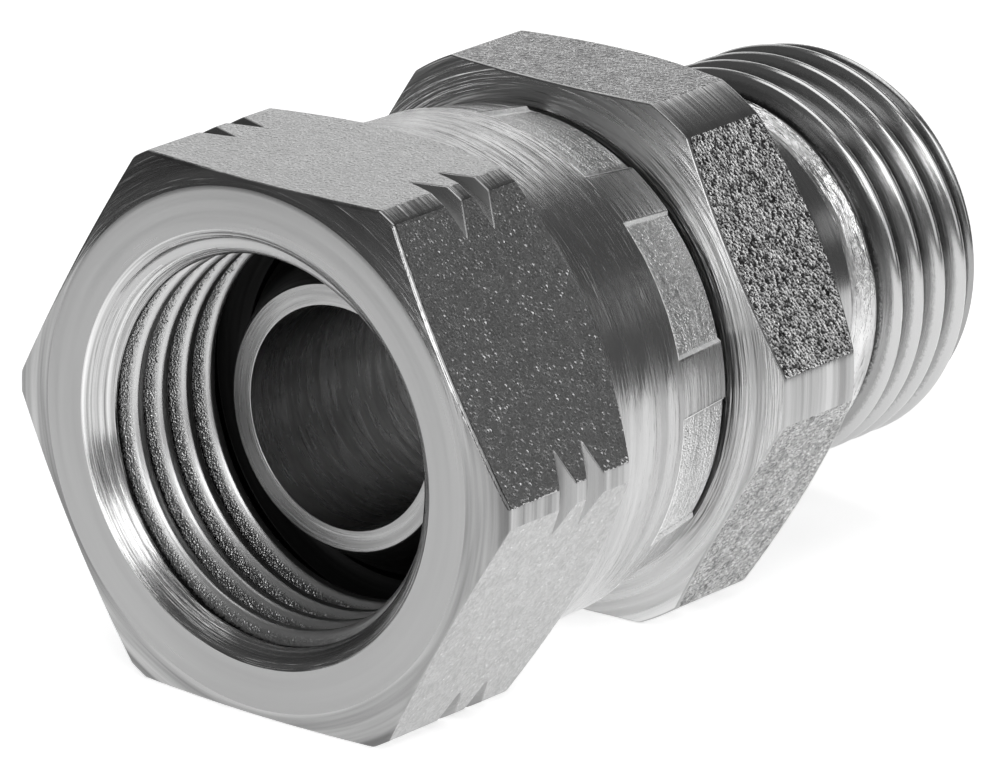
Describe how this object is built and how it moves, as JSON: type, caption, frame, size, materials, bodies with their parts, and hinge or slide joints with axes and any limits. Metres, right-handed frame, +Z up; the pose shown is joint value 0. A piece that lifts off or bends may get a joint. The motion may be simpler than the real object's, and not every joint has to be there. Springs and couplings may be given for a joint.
{
  "type": "hydraulic swivel connector",
  "caption": "Straight hydraulic adaptor in plated steel: a crimped hexagon swivel nut with an internal thread turns on a hexagon body with a coned nose, a through-bore and a male thread.",
  "frame": {"origin": "on the surface that the connector lies on, under the middle of its length and under its axis", "axes": "+X along the common axis from the swivel nut's mouth to the male end, +Z up, square to the upper flats of both hexagons"},
  "size_m": [0.0452, 0.0306, 0.027],
  "materials": {
    "nut_steel": "bright zinc plate over turned and drawn steel",
    "body_steel": "bright zinc plate over turned steel, with grained hexagon flats"
  },
  "bodies": {
    "body": {"connector_body": "body_steel"},
    "nut": {"swivel_nut": "nut_steel"}
  },
  "joints": [
    {"name": "nut_swivel", "type": "hinge", "parent": "body", "child": "nut", "pos_m": [0, 0, 0.0135], "axis": [1, 0, 0], "continuous": true}
  ]
}
